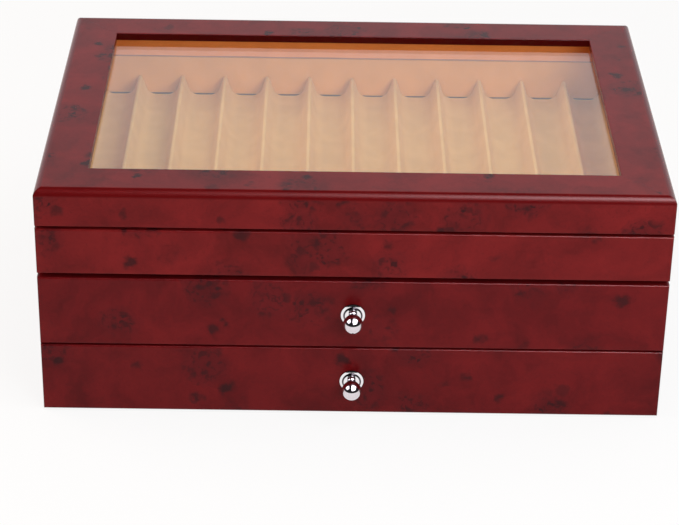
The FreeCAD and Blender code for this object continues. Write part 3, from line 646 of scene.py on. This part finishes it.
def toned_and_shaded_edges(burl, figure):
    """Solid toner on the rounded outer edge, where the figure runs out, made darker as
    painted shade; and painted shade on the window's two long inner faces."""
    spot = burl.add("SeparateXYZ", {0: burl.object_place()})
    from_side = burl.calc(
        "SUBTRACT", lid_half_width, burl.calc("ABSOLUTE", spot.outputs["X"]))
    from_front = burl.calc(
        "SUBTRACT", lid_half_depth, burl.calc("ABSOLUTE", spot.outputs["Y"]))
    inward = burl.calc("MINIMUM", from_side, from_front)
    # Roundover: solid toner, darkened further as painted shade.
    rounded = burl.calc(
        "MULTIPLY", burl.between(inward, ROUNDOVER, ROUNDOVER - ROUNDOVER_FADE_IN),
        burl.between(
            spot.outputs["Z"], roundover_foot, roundover_foot + ROUNDOVER_FADE_UP))
    rounded = burl.calc("MULTIPLY", rounded, ROUNDOVER_DARKENING)
    figure = burl.blend(rounded, figure, ROUNDOVER_TONE_AND_SHADE)
    # Painted shade on the window's two long inner faces.
    facing = burl.add("SeparateXYZ", {0: burl.add("TexCoord").outputs["Normal"]})
    window_shade = burl.calc(
        "MULTIPLY",
        burl.between(inward, rail_width - WINDOW_FADE_FROM, rail_width - WINDOW_FADE_TO),
        burl.between(burl.calc("ABSOLUTE", facing.outputs["Y"]), *WINDOW_FACING))
    return burl.blend(window_shade, figure, WINDOW_PAINTED_SHADE)


lid_burl = burl_lacquer("lid_burl", LID_FIGURE, BRIGHT_GROUND, toned_and_shaded_edges)
dress(lid_burl, *(f"lid_{side}_rail" for side in ("front", "right", "back", "left")))


# ------------------------------------------------------------------------------------
# Glass: one 3 mm float pane, seated in the rails' groove 4.4 mm under the top face.
# Lamp light goes through it onto the tray, and its two faces mirror what is behind.
# ------------------------------------------------------------------------------------
pane = Finish("lid_glass")
clear = pane.add("BsdfPrincipled", {
    "Base Color": (0.985, 0.985, 0.965, 1),
    "Roughness": 0.0,
    "IOR": 1.45,
    "Transmission Weight": 1.0,
})
let_through = pane.add("BsdfTransparent", {"Color": (0.96, 0.97, 0.965, 1)})
ray = pane.add("LightPath")
lamp_ray = pane.calc(
    "MAXIMUM", ray.outputs["Is Shadow Ray"], ray.outputs["Is Diffuse Ray"])
pane_mix = pane.add("MixShader", {0: lamp_ray, 1: clear, 2: let_through})
dress(pane.close(pane_mix), "lid_glass")


# ------------------------------------------------------------------------------------
# Lining of the lid: four card strips flocked in a redder tan, glued round the inside of
# the rails under the glass. Painted shade darkens the back strip along its lower edge.
# ------------------------------------------------------------------------------------
LID_LINING_SHADES = (0.93, 0.35, 0.100, 1), (0.87, 0.315, 0.088, 1)
# Painted shade: a thin dark line along the back strip's lower edge, at the seam above the
# compartment's lining.
SEAM_SHADE_WIDTH = 0.0006
SEAM_PAINTED_SHADE = (0.36, 0.13, 0.07, 1)

lid_flock = flocking("lid_lining_flock", *LID_LINING_SHADES)
dress(lid_flock, *(f"lid_lining_{side}" for side in ("front", "left", "right")))
# The back strip's lower edge is painted dark as painted shade at the seam.
seam_shaded_flock = flocking(
    "seam_shaded_lid_flock", *LID_LINING_SHADES,
    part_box("lid_lining_back")[0].z + SEAM_SHADE_WIDTH, SEAM_PAINTED_SHADE)
dress(seam_shaded_flock, "lid_lining_back")


# ------------------------------------------------------------------------------------
# Hinges: two nickel plated butt hinges, screwed into recesses in the back's top edge and
# under the lid. The lower leaf has a flange down the back, and the lid's knuckle a heel
# that meets it when the lid is open.
# ------------------------------------------------------------------------------------
BRUSHED_SIDE_TO_SIDE = (0.06, 1, 1)
BRUSH_WIDTH, BRUSH_RELIEF = 0.0004, 0.000004

nickel = Finish("hinge_nickel")
brushing = nickel.grains(
    nickel.object_place(stretch=BRUSHED_SIDE_TO_SIDE), BRUSH_WIDTH, detail=3, rough=0.6)
nickel_skin = nickel.add("BsdfPrincipled", {
    "Base Color": (0.53, 0.51, 0.475, 1),
    "Metallic": 1.0,
    "Roughness": 0.28,
    "Normal": nickel.relief(brushing, BRUSH_RELIEF),
})
dress(nickel.close(nickel_skin), "hinge_base_leaves", "hinge_lid_leaves", "hinge_pins")
dress(screw_zinc, "hinge_base_screws", "hinge_lid_screws")


# ------------------------------------------------------------------------------------
# Bumpers: two clear soft dots stuck on top of the front wall, near its corners. The lid
# comes down on them without a knock.
# ------------------------------------------------------------------------------------
GEL_LUMP, GEL_RELIEF = 0.001, 0.00001

dot = Finish("clear_bumper")
gel_lumps = dot.grains(dot.object_place(), GEL_LUMP, detail=1)
dot_gel = dot.add("BsdfPrincipled", {
    "Base Color": (0.93, 0.94, 0.93, 1),
    "Roughness": 0.25,
    "IOR": 1.45,
    "Transmission Weight": 0.7,
    "Normal": dot.relief(gel_lumps, GEL_RELIEF),
})
dress(dot.close(dot_gel), "lid_bumpers")


# ------------------------------------------------------------------------------------
# Studio floor: a large pale sheet that keeps the chest's shadow. The camera, gloss and
# glass see it as nearly white.
# ------------------------------------------------------------------------------------
FLOOR_REACH = 6
FLOOR_GLOW = 0.86

floor_paint = Finish("studio_floor")
floor_ray = floor_paint.add("LightPath")
seen = floor_paint.calc(
    "MAXIMUM", floor_ray.outputs["Is Camera Ray"], floor_ray.outputs["Is Glossy Ray"])
seen = floor_paint.calc("MAXIMUM", seen, floor_ray.outputs["Is Transmission Ray"])
floor_mix = floor_paint.add("MixShader", {
    0: floor_paint.calc("MULTIPLY", seen, FLOOR_GLOW),
    1: floor_paint.add("BsdfDiffuse", {"Color": (0.91, 0.93, 0.95, 1)}),
    2: floor_paint.add("Emission", {"Color": (1, 1, 1, 1), "Strength": 1.0}),
})
floor_data = bpy.data.meshes.new("studio_floor")
floor_data.from_pydata([
    (-FLOOR_REACH, -FLOOR_REACH, 0), (FLOOR_REACH, -FLOOR_REACH, 0),
    (FLOOR_REACH, FLOOR_REACH, 0), (-FLOOR_REACH, FLOOR_REACH, 0),
], [], [(0, 1, 2, 3)])
floor_data.materials.append(floor_paint.close(floor_mix))
floor = bpy.data.objects.new("studio_floor", floor_data)
bpy.context.collection.objects.link(floor)


# ------------------------------------------------------------------------------------
# Studio lamps: three soft lamps, high on the right, low on the left with a warm tint,
# and low in front. None is seen directly, in gloss or through the glass.
# ------------------------------------------------------------------------------------
LAMP_AIM = Vector((0, 0, 0.09))
LAMP_DISTANCE = 1.0


def soft_lamp(name, way, size, power, tint=(1.0, 1.0, 1.0)):
    """A soft lamp, (wide, high), that looks at the middle of the chest from that way."""
    data = bpy.data.lights.new(name, "AREA")
    data.shape = "RECTANGLE"
    data.size, data.size_y = size
    data.energy = power
    data.color = tint
    lamp = bpy.data.objects.new(name, data)
    lamp.location = LAMP_AIM + Vector(way).normalized() * LAMP_DISTANCE
    lamp.rotation_euler = (LAMP_AIM - lamp.location).to_track_quat("-Z", "Y").to_euler()
    lamp.visible_camera = False
    lamp.visible_glossy = False
    lamp.visible_transmission = False
    bpy.context.collection.objects.link(lamp)


soft_lamp(
    "high_right_lamp", way=(0.46, -0.34, 0.82), size=(0.75, 0.90), power=3.4,
    tint=(0.96, 1.0, 1.03))
soft_lamp(
    "low_left_lamp", way=(-0.85, 0.10, 0.52), size=(0.80, 0.80), power=4.5,
    tint=(1.0, 0.80, 0.66))
soft_lamp("low_front_lamp", way=(0.30, -0.86, 0.40), size=(0.35, 0.35), power=3.1)


# ------------------------------------------------------------------------------------
# Studio surroundings: white to the camera and through the glass, and a plain warm grey
# as light. Gloss shows a white wall behind the chest, a lamp on each side and a strip
# overhead.
# ------------------------------------------------------------------------------------
AMBIENT = (0.53, 0.47, 0.43, 1)
WALL_LIGHT, WALL_EXTRA_RIGHT = 0.96, 0.14
WALL_LEAN = -0.9
RIGHT_GLARE, OVERHEAD_GLARE, LEFT_GLARE = 5.0, 34.0, 3.0
LAST_BRIGHT_BOUNCE = (2.6, 2.4)
FAINT_GLARE = 0.06
DARK_SIDE_LIGHT = 0.02
GLOSS_TINT = (1.0, 0.985, 1.04, 1)

world = bpy.data.worlds.new("studio_surroundings")
bpy.context.scene.world = world
sky = Finish("studio_surroundings", world)
sky_ray = sky.add("LightPath")
way = sky.add("SeparateXYZ", {0: sky.add("TexCoord").outputs["Generated"]})
# Parts of the way to the right, to the back and up.
aside, along, above = (way.outputs[axis] for axis in "XYZ")


def lit_patch(level, *edges):
    """A soft-edged bright patch of the surroundings. Each edge is an axis, where on it
    the patch is dark, and where it is bright."""
    patch = level
    for axis, dark_at, bright_at in edges:
        patch = sky.calc("MULTIPLY", patch, sky.between(axis, dark_at, bright_at))
    return patch


behind = sky.calc("MULTIPLY_ADD", above, WALL_LEAN, along)
wall = lit_patch(WALL_EXTRA_RIGHT, (aside, -0.20, 0.20))
wall = lit_patch(sky.calc("ADD", wall, WALL_LIGHT), (behind, -0.15, 0.30))
right_lamp = lit_patch(
    RIGHT_GLARE, (aside, -0.05, 0.12), (aside, 0.80, 0.60), (above, 0.38, 0.58),
    (along, 0.20, -0.02))
overhead_lamp = lit_patch(
    OVERHEAD_GLARE, (aside, -0.06, 0.30), (aside, 0.50, 0.36), (above, 0.60, 0.84),
    (along, 0.02, -0.36))
left_lamp = lit_patch(
    LEFT_GLARE, (aside, -0.35, -0.60), (above, 0.34, 0.54), (along, 0.85, 0.65),
    (along, -0.60, -0.40))

# From the third bounce on, as between ball and plate, the lamps show only faintly.
early_bounce = sky.between(sky_ray.outputs["Ray Depth"], *LAST_BRIGHT_BOUNCE)
lamps = sky.calc("ADD", sky.calc("ADD", right_lamp, overhead_lamp), left_lamp)
lamps = sky.calc("MULTIPLY", lamps, sky.calc("MAXIMUM", early_bounce, FAINT_GLARE))
mirrored = sky.calc("ADD", wall, lamps)
mirrored = sky.calc("ADD", mirrored, DARK_SIDE_LIGHT)
through = sky.calc(
    "MAXIMUM", sky_ray.outputs["Is Camera Ray"], sky_ray.outputs["Is Transmission Ray"])
mirrored = sky.blend(1.0, mirrored, GLOSS_TINT, "MULTIPLY")
seen_sky = sky.blend(sky_ray.outputs["Is Glossy Ray"], AMBIENT, mirrored)
seen_sky = sky.blend(through, seen_sky, (1, 1, 1, 1))
backdrop = sky.add("Background", {"Color": seen_sky, "Strength": 1.0})
sky.tree.links.new(backdrop.outputs[0], sky.add("OutputWorld").inputs["Surface"])
bpy.context.scene.view_settings.view_transform = "Standard"


# ------------------------------------------------------------------------------------
# The camera stands in front, a little to the left, and looks down on the lid. It turns
# to the right by CAMERA_TURN, dips by CAMERA_DIP and then rolls.
# ------------------------------------------------------------------------------------
CAMERA_PLACE = Vector((-0.017267, -1.194052, 0.689187))
CAMERA_TURN = radians(0.5065)
CAMERA_DIP = radians(28.8874)
CAMERA_ROLL = radians(1.0318)
FOCAL_PIXELS = 2299.50
FRAME_PIXELS = 679
SENSOR_WIDTH = 36

ahead = Vector((
    sin(CAMERA_TURN) * cos(CAMERA_DIP), cos(CAMERA_TURN) * cos(CAMERA_DIP),
    -sin(CAMERA_DIP)))
across = ahead.cross(Vector((0, 0, 1))).normalized()
upward = across.cross(ahead)
rolled_across = cos(CAMERA_ROLL) * across + sin(CAMERA_ROLL) * upward
rolled_upward = -sin(CAMERA_ROLL) * across + cos(CAMERA_ROLL) * upward
camera_data = bpy.data.cameras.new("front_camera")
camera_data.sensor_width = SENSOR_WIDTH
camera_data.lens = SENSOR_WIDTH * FOCAL_PIXELS / FRAME_PIXELS
camera_data.clip_end = 50
camera = bpy.data.objects.new("front_camera", camera_data)
camera.matrix_world = Matrix.Translation(CAMERA_PLACE) @ Matrix((
    rolled_across, rolled_upward, -ahead)).transposed().to_4x4()
bpy.context.collection.objects.link(camera)
bpy.context.scene.camera = camera
